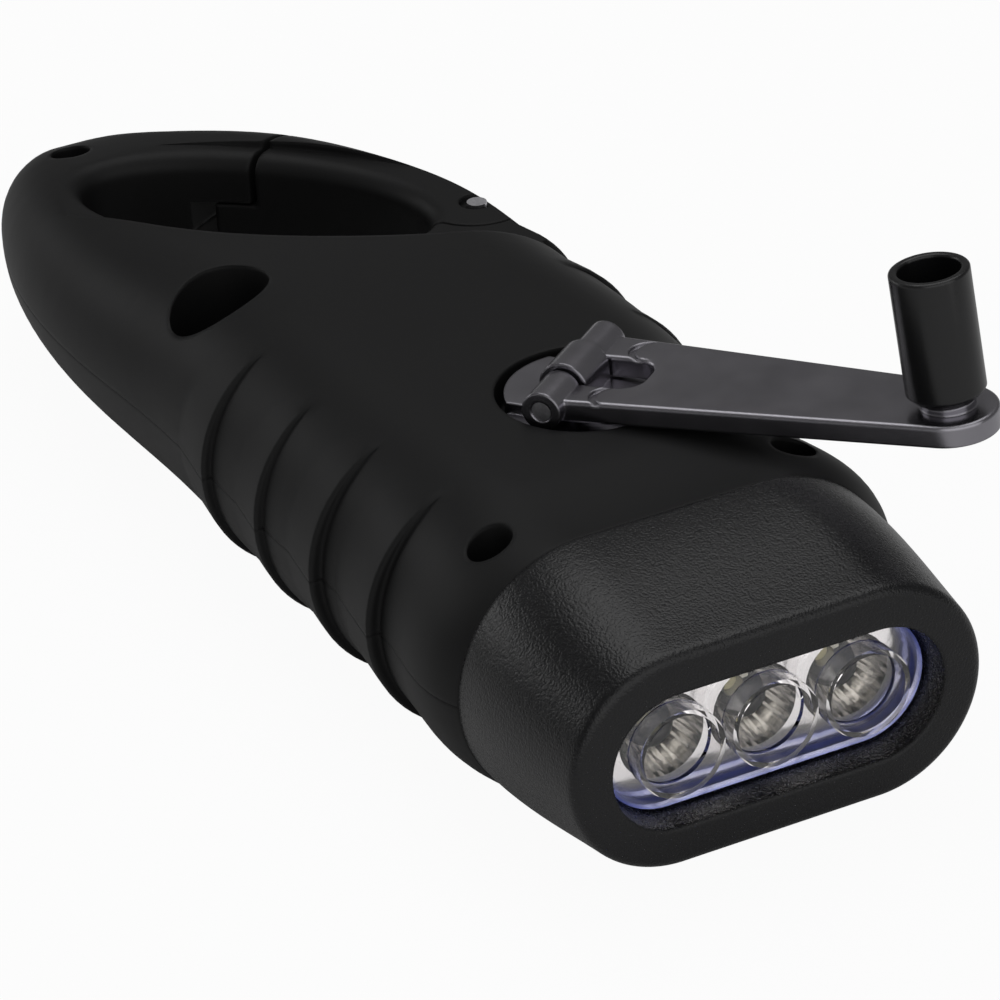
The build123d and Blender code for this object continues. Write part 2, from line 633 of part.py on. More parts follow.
def rotor_pinion(phase):
    """Pinion on the rotor shaft."""
    form = gear(PINION_TEETH, ROTOR_AT, WHEEL_TWO_Z[0] - 0.3, WHEEL_TWO_Z[1] + 0.3, phase)
    return form - upright(ROTOR_AT, ROTOR_SHAFT_RADIUS, 0, 40)


def stator_core():
    """Claw-pole stator: a cup with two flanges and fingers that reach round the magnet."""
    low, high = STATOR_Z
    bore = MAGNET_RADIUS + 0.5
    form = upright(ROTOR_AT, STATOR_RADIUS, low, high)
    form -= upright(ROTOR_AT, STATOR_RADIUS - 0.8, low + 0.8, high - 0.8)
    for index in range(STATOR_CLAWS):
        z0, z1 = (low + 0.4, high - 1.6) if index % 2 else (low + 1.6, high - 0.4)
        finger = upright((0, 0), bore + 0.6, z0, z1) & block(2, 20, -1.2, 1.2, z0, z1)
        form += Pos(ROTOR_AT[0], ROTOR_AT[1], 0) * Rot(0, 0, index * 360 / STATOR_CLAWS) * finger
    return form - upright(ROTOR_AT, bore, 0, 40)


def stator_coil():
    """Copper winding inside the stator cup."""
    low, high = STATOR_Z
    inner = MAGNET_RADIUS + 1.5
    form = upright(ROTOR_AT, STATOR_RADIUS - 1.0, low + 0.8, high - 0.8)
    return form - upright(ROTOR_AT, inner, 0, 40)


# ---------------------------------------------------------------- switch, board and battery
def button_form(grow, z0, z1):
    """Upright bar with the push button's rounded outline, grown by a margin."""
    plan = SlotOverall(2 * (BUTTON_HALF_LENGTH + grow), 2 * (BUTTON_HALF_WIDTH + grow))
    return Pos(BUTTON_AT[0], BUTTON_AT[1], z0) * extrude(plan, amount=z1 - z0)


def switch_button():
    """Push button in the underside, with an inner flange that keeps it in."""
    form = button_form(0, BUTTON_FACE_Z, WALL + 0.6)
    return form + button_form(1.2, WALL + 0.35, WALL + 0.95)


def switch_body():
    """Push switch soldered under the board."""
    x, y = BUTTON_AT
    top = BOARD_Z[0]
    return block(x - 3, x + 3, y - 3, y + 3, top - 2, top) + upright(BUTTON_AT, 1.5, top - 2.7, top - 2)


def main_board():
    """Circuit board with its rectifier diodes and reservoir capacitor."""
    low, high = BOARD_Z
    form = block(*BOARD_X, -BOARD_HALF_WIDTH, BOARD_HALF_WIDTH, low, high)
    for index in range(4):
        y = -6 + 4 * index
        form += block(BOARD_X[0] + 1, BOARD_X[0] + 3.4, y - 0.8, y + 0.8, high, high + 1)
    return form


def board_posts():
    """Pillars of the bottom shell under the board's corners."""
    x0, x1 = BOARD_X
    y = BOARD_HALF_WIDTH - 2
    corners = [(x0 + 2, -y), (x0 + 2, y), (x1 - 2, -y), (x1 - 2, y)]
    return [upright(at, 1.6, 1, BOARD_Z[0]) for at in corners]


def battery_cell():
    """Rechargeable coin cell, crimped cup and cap."""
    low = BOARD_Z[1] + 0.4
    cup = upright(BATTERY_AT, 10.0, low, low + 2.6)
    return cup + upright(BATTERY_AT, 8.6, low + 2.6, low + 3.2)


def battery_tabs():
    """Nickel strips from the cell down to the board."""
    x, y = BATTERY_AT
    base = BOARD_Z[1]
    under = block(x - 3, x + 3, y - 2, y + 2, base, base + 0.4)
    top = base + 3.6
    over = block(x - 13, x - 6, y - 2, y + 2, top, top + 0.3)
    over += block(x - 13, x - 12.7, y - 2, y + 2, base, top + 0.3)
    return [under, over]


def wires():
    """Two wires to the lamps and two to the generator."""
    z = (BOARD_Z[0] + BOARD_Z[1]) / 2
    lamp = [along_x(0.5, BOARD_X[1], LAMP_BOARD_X[0], y, z) for y in (-3, 3)]
    reach = STATOR_RADIUS ** 2
    coil = []
    for y in (-5, -7.5):
        start = ROTOR_AT[0] + sqrt(reach - (y - ROTOR_AT[1]) ** 2) + 0.1
        coil.append(along_x(0.5, start, BOARD_X[0], y, z))
    return lamp, coil


# ---------------------------------------------------------------- lamp head
def head_bezel():
    """Textured head: slips over the neck, tapers to the rim and frames the lens."""
    outer = loft([
        stadium(JOINT_X, 23.8, 14.2),
        stadium(38.0, 23.45, 13.4),
        stadium(45.0, 22.6, 12.1),
        stadium(FRONT_X, HEAD_HALF_WIDTH, HEAD_HALF_HEIGHT),
    ])
    front_edges = outer.edges().group_by(Axis.X)[-1]
    outer = fillet(front_edges, 1.1)
    rear = stadium_bar(JOINT_X - 1, LAMP_BOARD_X[1], NECK_HALF_WIDTH + 0.1, NECK_HALF_HEIGHT + 0.1)
    middle = stadium_bar(JOINT_X, LENS_X[0], FLANGE_HALF_WIDTH + 0.1, FLANGE_HALF_HEIGHT + 0.1)
    opening = loft([
        stadium(LENS_X[0] - 0.1, OPENING_HALF_WIDTH - 0.45, OPENING_HALF_HEIGHT - 0.45),
        stadium(FRONT_X, OPENING_HALF_WIDTH, OPENING_HALF_HEIGHT),
    ], ruled=True)
    return outer - rear - middle - opening


def lens():
    """Clear cover with a flange behind the rim and three ring bosses in front."""
    form = stadium_bar(LENS_X[0] - 1.3, LENS_X[0], FLANGE_HALF_WIDTH, FLANGE_HALF_HEIGHT)
    form += stadium_bar(LENS_X[0], LENS_X[1], OPENING_HALF_WIDTH - 0.6, OPENING_HALF_HEIGHT - 0.6)
    for y in LAMP_OFFSETS:
        form += along_x(BOSS_RADIUS, LENS_X[1], BOSS_FRONT_X, y)
    for y in LAMP_OFFSETS:
        form -= along_x(BOSS_BORE_RADIUS, LENS_X[1] - 0.2, FRONT_X, y)
    return form


def reflector():
    """Chromed block with three curved cups and two feet on the lamp board."""
    x0, x1 = REFLECTOR_X
    form = stadium_bar(x0, x1, FLANGE_HALF_WIDTH - 0.3, FLANGE_HALF_HEIGHT - 0.3)
    for y in LAMP_OFFSETS:
        cup = loft([
            Pos(x, y, MID_Z) * Rot(0, 90, 0) * Circle(radius)
            for x, radius in ((x0, 2.9), (x0 + 1.4, 3.6), (x0 + 3.2, 4.15), (x1, 4.5))
        ])
        form -= cup
        form -= along_x(LAMP_RADIUS + 0.05, x0 - 1, x1, y)
    for side in (-1, 1):
        form += along_x(1.2, LAMP_BOARD_X[1], x0, side * 16.5)
    return form


def lamp(y):
    """Round-nosed 5 mm lamp with its base flange."""
    base = LAMP_BOARD_X[1]
    form = along_x(LAMP_RADIUS + 0.4, base, base + 1, y)
    form += along_x(LAMP_RADIUS, base + 1, LAMP_DOME_X, y)
    return form + Pos(LAMP_DOME_X, y, MID_Z) * Sphere(LAMP_RADIUS)


def lamp_board():
    """Board that the three lamps are soldered to."""
    return stadium_bar(*LAMP_BOARD_X, FLANGE_HALF_WIDTH - 0.5, FLANGE_HALF_HEIGHT - 0.5)


# ---------------------------------------------------------------- assembly
def build_parts():
    """All pieces by node name; a list is a group of separate solids."""
    body = outer_body()
    top_shell, bottom_shell = housing_shells(body)
    phase_one, phase_two, phase_rotor = stage_phases()
    lamp_wires, coil_wires = wires()
    waist_screw, *head_screws, tail_screw = [screw(*placed) for placed in HOUSING_SCREWS]
    parts = {
        "top_shell": top_shell,
        "bottom_shell": bottom_shell,
        "head_bezel": head_bezel(),
        "lens": lens(),
        "reflector": reflector(),
        "lamp_board": lamp_board(),
        "main_board": main_board(),
        "battery_cell": battery_cell(),
        "battery_tabs": battery_tabs(),
        "lamp_wires": lamp_wires,
        "coil_wires": coil_wires,
        "switch_body": switch_body(),
        "switch_button": switch_button(),
        "carabiner_gate": carabiner_gate(body),
        "gate_pin": gate_pin(),
        "gate_spring": gate_spring(),
        "crank_hub": crank_hub(),
        "hub_screw": hub_screw(),
        "crank_arm": crank_arm(),
        "arm_pin": arm_pin(),
        "crank_knob": crank_knob(),
        "knob_rivet": knob_rivet(),
        "drive_gear": drive_gear(),
        "compound_gear_one": compound_gear(STAGE_ONE_AT, WHEEL_ONE_Z, PINION_ONE_TOP, phase_one),
        "compound_gear_two": compound_gear(STAGE_TWO_AT, WHEEL_TWO_Z, PINION_TWO_TOP, phase_two),
        "axle_one": upright(STAGE_ONE_AT, AXLE_RADIUS, PLATE_Z[0], AXLE_ONE_TOP),
        "axle_two": upright(STAGE_TWO_AT, AXLE_RADIUS, PLATE_Z[0], AXLE_TWO_TOP),
        "gear_plate": gear_plate(),
        "plate_screws": plate_screws(),
        "rotor_shaft": upright(ROTOR_AT, ROTOR_SHAFT_RADIUS, 2.3, WHEEL_TWO_Z[1] + 1.4),
        "rotor_magnet": rotor_magnet(),
        "rotor_pinion": rotor_pinion(phase_rotor),
        "stator_core": stator_core(),
        "stator_coil": stator_coil(),
        "waist_screw": waist_screw,
        "head_screws": head_screws,
        "tail_screw": tail_screw,
    }
    for name, y in zip(("lamp_left", "lamp_middle", "lamp_right"), LAMP_OFFSETS):
        parts[name] = lamp(y)
    return parts


def main():
    """Write one STEP file for each node."""
    os.makedirs("parts", exist_ok=True)
    for name, form in build_parts().items():
        solids = form if isinstance(form, list) else form.solids()
        shape = Compound(solids) if len(solids) > 1 else solids[0]
        export_step(shape, f"parts/{name}.step")


if __name__ == "__main__":
    main()
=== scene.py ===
"""Looks of the hand crank flashlight: finishes, lamp innards, light and camera."""
import math

import bmesh
import bpy
from mathutils import Matrix, Vector


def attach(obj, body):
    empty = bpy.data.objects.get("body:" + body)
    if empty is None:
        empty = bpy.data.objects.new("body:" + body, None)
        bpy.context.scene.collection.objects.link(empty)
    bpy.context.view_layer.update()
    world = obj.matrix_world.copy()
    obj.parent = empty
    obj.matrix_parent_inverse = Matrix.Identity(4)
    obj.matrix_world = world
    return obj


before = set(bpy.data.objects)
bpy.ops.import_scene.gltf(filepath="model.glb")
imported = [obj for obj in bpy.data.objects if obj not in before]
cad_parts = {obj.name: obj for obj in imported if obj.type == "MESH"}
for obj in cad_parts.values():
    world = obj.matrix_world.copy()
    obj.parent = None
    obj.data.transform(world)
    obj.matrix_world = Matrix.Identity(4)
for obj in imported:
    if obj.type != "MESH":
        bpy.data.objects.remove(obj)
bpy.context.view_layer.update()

MM = 0.001

# lengths are in millimetres, apart from the room's and the camera's, which are in metres

# the lamp head, seen along X: three lamps side by side behind one oval window
LAMP_PITCH = 10.0
LAMP_AXIS_Z = 14.7
CUP_RADIUS = 4.5
CUP_FLUTES = 26.0
WINDOW_STRAIGHT_HALF = 10.6
WINDOW_EDGE_FROM = 5.7
WINDOW_EDGE_TO = 6.5

# inside each lamp, along X: the leads' root, the chip's dish and the phosphor dot
LEAD_ROOT_X = 35.9
DISH_BACK_X = 39.2
DISH_FLOOR_X = 39.5
DISH_RIM_X = 40.1
LEAD_HALF_THICKNESS = 0.2
LEAD_EDGE = 0.04
TURNING_STEPS = 32
TURNING_MERGE = 0.001

# shading of the nodes' meshes
WELD_REACH = 0.002
SMOOTH_BELOW_DEGREES = 27
EDGE_SAMPLES = 6

# the room: the share of the floor that the camera sees as plain white, and the level that lights the object
FLOOR_RADIUS = 3.0
FLOOR_SEGMENTS = 64
FLOOR_CAMERA_SHARE = 0.95
ROOM_LEVEL = 0.2
LIT_PLACE = (-0.01, 0.0, 0.02)

# the photograph's camera; its sensor is in millimetres
IMAGE_PIXELS = 1000
FOCAL_PIXELS = 4994
SENSOR_WIDTH = 36.0
CLIP_START = 0.01
CAMERA_PLACE = (0.39618, -0.19277, 0.25986)
CAMERA_RIGHT = (0.45805, 0.88715, -0.05612)
CAMERA_FORWARD = (-0.78945, 0.37696, -0.48442)


# ---------------------------------------------------------------- small tools
def paint(code):
    """Linear colour from an sRGB hex value."""
    channels = [int(code[i:i + 2], 16) / 255 for i in (0, 2, 4)]
    linear = [c / 12.92 if c <= 0.04045 else ((c + 0.055) / 1.055) ** 2.4 for c in channels]
    return (*linear, 1.0)


def add_node(tree, kind, settings=None, links=None):
    """Add a node, set its sockets (by name or number) and properties, and link sockets into it."""
    node = tree.nodes.new(kind)
    for name, value in (settings or {}).items():
        if isinstance(name, int) or name in node.inputs:
            node.inputs[name].default_value = value
        else:
            setattr(node, name, value)
    for name, source in (links or {}).items():
        tree.links.new(source, node.inputs[name])
    return node


def new_finish(name):
    """Empty material, with its node tree, its shader and the piece's own coordinates."""
    finish = bpy.data.materials.new(name)
    finish.use_nodes = True
    tree = finish.node_tree
    shader = tree.nodes["Principled BSDF"]
    place = add_node(tree, "ShaderNodeTexCoord").outputs["Object"]
    return finish, tree, shader, place


def grain_of(size, detail=2.0):
    """Settings of a noise pattern whose features are about size millimetres across."""
    return {"Scale": 1 / (size * MM), "Detail": detail}


def vary_roughness(tree, shader, source, low, high):
    """Let a pattern move the roughness between two values."""
    spread = add_node(tree, "ShaderNodeMapRange", {"To Min": low, "To Max": high}, {"Value": source})
    tree.links.new(spread.outputs["Result"], shader.inputs["Roughness"])


def vary_colour(tree, shader, source, dark, light):
    """Let a pattern move the base colour between two shades."""
    ramp = add_node(tree, "ShaderNodeValToRGB", links={"Fac": source})
    ramp.color_ramp.elements[0].color = paint(dark)
    ramp.color_ramp.elements[1].color = paint(light)
    tree.links.new(ramp.outputs["Color"], shader.inputs["Base Color"])


def vary_height(tree, shader, source, height, strength=1.0, below=None):
    """Let a pattern raise the surface by a height in millimetres, over an earlier normal if one is given."""
    bump = add_node(
        tree, "ShaderNodeBump", {"Strength": strength, "Distance": height * MM}, {"Height": source},
    )
    if below:
        tree.links.new(below, bump.inputs["Normal"])
    tree.links.new(bump.outputs["Normal"], shader.inputs["Normal"])
    return bump.outputs["Normal"]


def squared_distance(tree, across, upward):
    """Square of the distance from an X-wise axis, from the two offsets from it."""
    across_square = add_node(tree, "ShaderNodeMath", {"operation": "MULTIPLY"}, {0: across, 1: across})
    upward_square = add_node(tree, "ShaderNodeMath", {"operation": "MULTIPLY"}, {0: upward, 1: upward})
    links = {0: across_square.outputs[0], 1: upward_square.outputs[0]}
    return add_node(tree, "ShaderNodeMath", {"operation": "ADD"}, links).outputs[0]


# ---------------------------------------------------------------- finishes
def satin_abs():
    """Moulded ABS from a finely blasted tool: near black, a soft even sheen, handled to a slight cloud."""
    finish, tree, shader, place = new_finish("satin moulded ABS")
    shader.inputs["IOR"].default_value = 1.5
    shader.inputs["Specular IOR Level"].default_value = 0.2
    cloud = add_node(tree, "ShaderNodeTexNoise", grain_of(14, 3), {"Vector": place}).outputs["Fac"]
    vary_colour(tree, shader, cloud, "111112", "161616")
    vary_roughness(tree, shader, cloud, 0.44, 0.56)
    # the blasted grain is finer than a pixel, so it is drawn about three times as coarse
    blasted = add_node(tree, "ShaderNodeTexNoise", grain_of(0.3), {"Vector": place}).outputs["Fac"]
    rounded = add_node(tree, "ShaderNodeBevel", {"samples": EDGE_SAMPLES, "Radius": 0.7 * MM})
    vary_height(tree, shader, blasted, 0.004, 0.5, rounded.outputs["Normal"])
    return finish


def spark_eroded_abs():
    """Moulded ABS from a spark eroded tool: a dry 0.25 mm grain that glitters where it turns to the light."""
    finish, tree, shader, place = new_finish("spark eroded ABS")
    shader.inputs["IOR"].default_value = 1.5
    shader.inputs["Specular IOR Level"].default_value = 0.38
    grain = add_node(tree, "ShaderNodeTexNoise", grain_of(0.25, 1), {"Vector": place}).outputs["Fac"]
    vary_colour(tree, shader, grain, "08080a", "151517")
    vary_roughness(tree, shader, grain, 0.22, 0.34)
    ripple = add_node(tree, "ShaderNodeTexNoise", grain_of(0.7, 1), {"Vector": place}).outputs["Fac"]
    rounded = add_node(tree, "ShaderNodeBevel", {"samples": EDGE_SAMPLES, "Radius": 0.8 * MM})
    rippled = vary_height(tree, shader, ripple, 0.035, 0.5, rounded.outputs["Normal"])
    vary_height(tree, shader, grain, 0.07, 0.9, rippled)
    return finish


def gunmetal_plate():
    """Zinc die casting with black nickel plate: dark grey metal, glossy, very slightly wavy."""
    finish, tree, shader, place = new_finish("black nickel on zinc casting")
    shader.inputs["Metallic"].default_value = 1.0
    haze = add_node(tree, "ShaderNodeTexNoise", grain_of(5, 3), {"Vector": place}).outputs["Fac"]
    vary_colour(tree, shader, haze, "8d8b91", "a6a4aa")
    vary_roughness(tree, shader, haze, 0.18, 0.3)
    wave = add_node(tree, "ShaderNodeTexNoise", grain_of(3), {"Vector": place}).outputs["Fac"]
    rounded = add_node(tree, "ShaderNodeBevel", {"samples": EDGE_SAMPLES, "Radius": 0.35 * MM})
    vary_height(tree, shader, wave, 0.02, 0.25, rounded.outputs["Normal"])
    return finish


def ground_steel():
    """Ground steel pin stock: bright, with fine turning marks."""
    finish, tree, shader, place = new_finish("ground steel")
    shader.inputs["Metallic"].default_value = 1.0
    marks = add_node(tree, "ShaderNodeTexNoise", grain_of(0.25), {"Vector": place}).outputs["Fac"]
    vary_colour(tree, shader, marks, "d2d1d6", "efeef2")
    vary_roughness(tree, shader, marks, 0.25, 0.42)
    return finish


def zinc_screw():
    """Zinc plated screw steel: pale bluish grey, slightly dull."""
    finish, tree, shader, place = new_finish("zinc plated steel")
    shader.inputs["Metallic"].default_value = 1.0
    bloom = add_node(tree, "ShaderNodeTexNoise", grain_of(0.8, 3), {"Vector": place}).outputs["Fac"]
    vary_colour(tree, shader, bloom, "85888c", "a9abb0")
    vary_roughness(tree, shader, bloom, 0.3, 0.5)
    return finish


def gloss_abs():
    """ABS from a polished tool: black with soft clear highlights and faint sink marks."""
    finish, tree, shader, place = new_finish("polished ABS")
    shader.inputs["IOR"].default_value = 1.5
    cloud = add_node(tree, "ShaderNodeTexNoise", grain_of(6), {"Vector": place}).outputs["Fac"]
    vary_colour(tree, shader, cloud, "0e0e0f", "141415")
    vary_roughness(tree, shader, cloud, 0.22, 0.3)
    rounded = add_node(tree, "ShaderNodeBevel", {"samples": EDGE_SAMPLES, "Radius": 0.3 * MM})
    vary_height(tree, shader, cloud, 0.03, 0.3, rounded.outputs["Normal"])
    return finish


def clear_polycarbonate():
    """Moulded polycarbonate window: clear, with faint flow marks and a blue, slightly cloudy edge."""
    finish, tree, shader, place = new_finish("clear polycarbonate")
    shader.inputs["IOR"].default_value = 1.45
    axes = add_node(tree, "ShaderNodeSeparateXYZ", links={"Vector": place})
    level = add_node(tree, "ShaderNodeMath", {"operation": "ABSOLUTE"}, {0: axes.outputs["Y"]})
    straight = WINDOW_STRAIGHT_HALF * MM
    beyond = add_node(
        tree, "ShaderNodeMath", {"operation": "SUBTRACT", 1: straight}, {0: level.outputs[0]},
    )
    across = add_node(tree, "ShaderNodeMath", {"operation": "MAXIMUM", 1: 0.0}, {0: beyond.outputs[0]})
    upward = add_node(
        tree, "ShaderNodeMath", {"operation": "SUBTRACT", 1: LAMP_AXIS_Z * MM}, {0: axes.outputs["Z"]},
    )
    squares = squared_distance(tree, across.outputs[0], upward.outputs[0])
    reach = add_node(tree, "ShaderNodeMath", {"operation": "SQRT"}, {0: squares})
    span = {"From Min": WINDOW_EDGE_FROM * MM, "From Max": WINDOW_EDGE_TO * MM}
    edge = add_node(tree, "ShaderNodeMapRange", span, {"Value": reach.outputs[0]}).outputs["Result"]
    vary_colour(tree, shader, edge, "fbfafa", "8e99ea")
    clarity = add_node(tree, "ShaderNodeMapRange", {"To Min": 1.0, "To Max": 0.55}, {"Value": edge})
    tree.links.new(clarity.outputs["Result"], shader.inputs["Transmission Weight"])
    flow = add_node(tree, "ShaderNodeTexNoise", grain_of(4), {"Vector": place}).outputs["Fac"]
    vary_roughness(tree, shader, flow, 0.0, 0.03)
    vary_height(tree, shader, flow, 0.01, 0.2)
    return finish


def vacuum_chrome():
    """Vacuum metallised plastic: mirror bright, with fine radial flutes inside each cup."""
    finish, tree, shader, place = new_finish("vacuum metallised plastic")
    shader.inputs["Metallic"].default_value = 1.0
    shader.inputs["Base Color"].default_value = paint("f1efef")
    haze = add_node(tree, "ShaderNodeTexNoise", grain_of(3), {"Vector": place}).outputs["Fac"]
    vary_roughness(tree, shader, haze, 0.1, 0.18)

    # offsets from the nearest cup's axis: Y repeats with the lamps
    pitch = LAMP_PITCH * MM
    axes = add_node(tree, "ShaderNodeSeparateXYZ", links={"Vector": place})
    shifted = add_node(tree, "ShaderNodeMath", {"operation": "ADD", 1: 0.5 * pitch}, {0: axes.outputs["Y"]})
    wrapped = add_node(
        tree, "ShaderNodeMath", {"operation": "FLOORED_MODULO", 1: pitch}, {0: shifted.outputs[0]},
    )
    across = add_node(
        tree, "ShaderNodeMath", {"operation": "SUBTRACT", 1: 0.5 * pitch}, {0: wrapped.outputs[0]},
    ).outputs[0]
    upward = add_node(
        tree, "ShaderNodeMath", {"operation": "SUBTRACT", 1: LAMP_AXIS_Z * MM}, {0: axes.outputs["Z"]},
    ).outputs[0]
    squares = squared_distance(tree, across, upward)
    in_cup = add_node(
        tree, "ShaderNodeMath", {"operation": "LESS_THAN", 1: (CUP_RADIUS * MM) ** 2}, {0: squares},
    )

    angle = add_node(tree, "ShaderNodeMath", {"operation": "ARCTAN2"}, {0: upward, 1: across})
    turns = add_node(tree, "ShaderNodeMath", {"operation": "MULTIPLY", 1: CUP_FLUTES}, {0: angle.outputs[0]})
    wave = add_node(tree, "ShaderNodeMath", {"operation": "SINE"}, {0: turns.outputs[0]})
    flutes = add_node(
        tree, "ShaderNodeMath", {"operation": "MULTIPLY"}, {0: wave.outputs[0], 1: in_cup.outputs[0]},
    ).outputs[0]
    orange_peel = add_node(tree, "ShaderNodeTexNoise", grain_of(1.2), {"Vector": place}).outputs["Fac"]
    wavy = vary_height(tree, shader, orange_peel, 0.05, 0.4)
    vary_height(tree, shader, flutes, 0.03, 0.5, wavy)
    return finish


def clear_epoxy():
    """Cast epoxy lamp body: water clear, bending what is inside."""
    finish, tree, shader, place = new_finish("cast clear epoxy")
    shader.inputs["Base Color"].default_value = paint("f6f6f0")
    shader.inputs["Transmission Weight"].default_value = 1.0
    shader.inputs["IOR"].default_value = 1.5
    haze = add_node(tree, "ShaderNodeTexNoise", grain_of(2), {"Vector": place}).outputs["Fac"]
    vary_roughness(tree, shader, haze, 0.0, 0.04)
    return finish


def solder_mask():
    """Glass epoxy board under green solder mask: smooth with a faint weave."""
    finish, tree, shader, place = new_finish("green solder mask")
    weave = add_node(tree, "ShaderNodeTexNoise", grain_of(0.9), {"Vector": place}).outputs["Fac"]
    vary_colour(tree, shader, weave, "0c3d22", "135230")
    vary_roughness(tree, shader, weave, 0.28, 0.42)
    return finish


def nickel_plate():
    """Nickel plated steel sheet: soft warm grey shine."""
    finish, tree, shader, place = new_finish("nickel plated steel")
    shader.inputs["Metallic"].default_value = 1.0
    haze = add_node(tree, "ShaderNodeTexNoise", grain_of(2, 3), {"Vector": place}).outputs["Fac"]
    vary_colour(tree, shader, haze, "aaa79f", "c4c2ba")
    vary_roughness(tree, shader, haze, 0.22, 0.36)
    return finish


def acetal():
    """Moulded acetal: waxy ivory that lets a little light in."""
    finish, tree, shader, place = new_finish("moulded acetal")
    shader.inputs["Subsurface Weight"].default_value = 0.15
    shader.inputs["Subsurface Radius"].default_value = (0.8 * MM, 0.8 * MM, 0.7 * MM)
    shade = add_node(tree, "ShaderNodeTexNoise", grain_of(5), {"Vector": place}).outputs["Fac"]
    vary_colour(tree, shader, shade, "dedbd0", "e8e5db")
    vary_roughness(tree, shader, shade, 0.36, 0.46)
    return finish


def grey_abs():
    """Unpainted chassis ABS: plain mid grey, slightly glossy."""
    finish, tree, shader, place = new_finish("grey chassis ABS")
    shade = add_node(tree, "ShaderNodeTexNoise", grain_of(8), {"Vector": place}).outputs["Fac"]
    vary_colour(tree, shader, shade, "7c7c7a", "878785")
    vary_roughness(tree, shader, shade, 0.4, 0.52)
    return finish


def enamelled_wire():
    """Enamelled copper winding: dark amber over copper, in bands 1.9 mm apart."""
    finish, tree, shader, place = new_finish("enamelled copper wire")
    shader.inputs["Metallic"].default_value = 1.0
    # turns of 0.3 mm wire are too fine to show, so the bands lie 2 pi times as far apart: the wave's
    # phase grows by 20 radians for each unit of its scale
    settings = {"wave_type": "BANDS", "bands_direction": "Z", "Scale": 1 / (0.3 * MM) / 20}
    turns = add_node(tree, "ShaderNodeTexWave", settings, {"Vector": place}).outputs["Fac"]
    vary_colour(tree, shader, turns, "7a3a18", "c4713a")
    vary_roughness(tree, shader, turns, 0.25, 0.4)
    vary_height(tree, shader, turns, 0.1, 0.6)
    return finish


def pvc_sleeve():
    """Extruded PVC wire sleeve: glossy red."""
    finish, tree, shader, place = new_finish("red PVC sleeve")
    shade = add_node(tree, "ShaderNodeTexNoise", grain_of(3), {"Vector": place}).outputs["Fac"]
    vary_colour(tree, shader, shade, "8c1418", "a3191d")
    vary_roughness(tree, shader, shade, 0.3, 0.4)
    return finish


def ferrite():
    """Sintered ferrite magnet: dark, dry and slightly granular."""
    finish, tree, shader, place = new_finish("sintered ferrite")
    grain = add_node(tree, "ShaderNodeTexNoise", grain_of(0.4, 3), {"Vector": place}).outputs["Fac"]
    vary_colour(tree, shader, grain, "2a2a2d", "3a3a3e")
    vary_roughness(tree, shader, grain, 0.5, 0.7)
    vary_height(tree, shader, grain, 0.02, 0.5)
    return finish


def soft_silicone():
    """Moulded silicone key: dull black with a fine dry grain."""
    finish, tree, shader, place = new_finish("moulded silicone")
    grain = add_node(tree, "ShaderNodeTexNoise", grain_of(0.35), {"Vector": place}).outputs["Fac"]
    vary_colour(tree, shader, grain, "171718", "1f1f20")
    vary_roughness(tree, shader, grain, 0.6, 0.75)
    vary_height(tree, shader, grain, 0.01, 0.5)
    return finish


def phosphor():
    """Cured phosphor dot on the lamp chip: matt pale straw yellow."""
    finish, tree, shader, place = new_finish("cured phosphor")
    grain = add_node(tree, "ShaderNodeTexNoise", grain_of(0.12), {"Vector": place}).outputs["Fac"]
    vary_colour(tree, shader, grain, "ddd3a0", "ece4bc")
    vary_roughness(tree, shader, grain, 0.6, 0.8)
    return finish


FINISH_OF = {
    satin_abs: ("top_shell", "bottom_shell", "carabiner_gate"),
    spark_eroded_abs: ("head_bezel",),
    gunmetal_plate: ("crank_arm", "crank_hub"),
    gloss_abs: ("crank_knob", "switch_body"),
    ground_steel: ("gate_pin", "gate_spring", "arm_pin", "axle_one", "axle_two", "rotor_shaft", "knob_rivet"),
    zinc_screw: ("plate_screws", "waist_screw", "head_screws", "tail_screw", "hub_screw"),
    clear_polycarbonate: ("lens",),
    vacuum_chrome: ("reflector",),
    clear_epoxy: ("lamp_left", "lamp_middle", "lamp_right"),
    solder_mask: ("lamp_board", "main_board"),
    nickel_plate: ("battery_cell", "battery_tabs", "stator_core"),
    acetal: ("drive_gear", "compound_gear_one", "compound_gear_two", "rotor_pinion"),
    grey_abs: ("gear_plate",),
    enamelled_wire: ("stator_coil",),
    pvc_sleeve: ("lamp_wires", "coil_wires"),
    ferrite: ("rotor_magnet",),
    soft_silicone: ("switch_button",),
}


def dress_nodes():
    """Give each frame node its finish and smooth shading that stops at its edges."""
    for make, names in FINISH_OF.items():
        finish = make()
        for name in names:
            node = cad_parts[name]
            for slot in node.material_slots:
                slot.material = finish
            if not node.material_slots:
                node.data.materials.append(finish)
            for face in node.data.polygons:
                face.use_smooth = True
            weld = node.modifiers.new("weld", "WELD")
            weld.merge_threshold = WELD_REACH * MM
            split = node.modifiers.new("edges", "EDGE_SPLIT")
            split.split_angle = math.radians(SMOOTH_BELOW_DEGREES)


# ---------------------------------------------------------------- lamp innards
def finished_piece(name, form, finish, body):
    """Object from a bmesh, with its finish, riding on a body."""
    bmesh.ops.recalc_face_normals(form, faces=form.faces)
    mesh = bpy.data.meshes.new(name)
    form.to_mesh(mesh)
    form.free()
    piece = bpy.data.objects.new(name, mesh)
    bpy.context.scene.collection.objects.link(piece)
    mesh.materials.append(finish)
    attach(piece, body)
    return piece


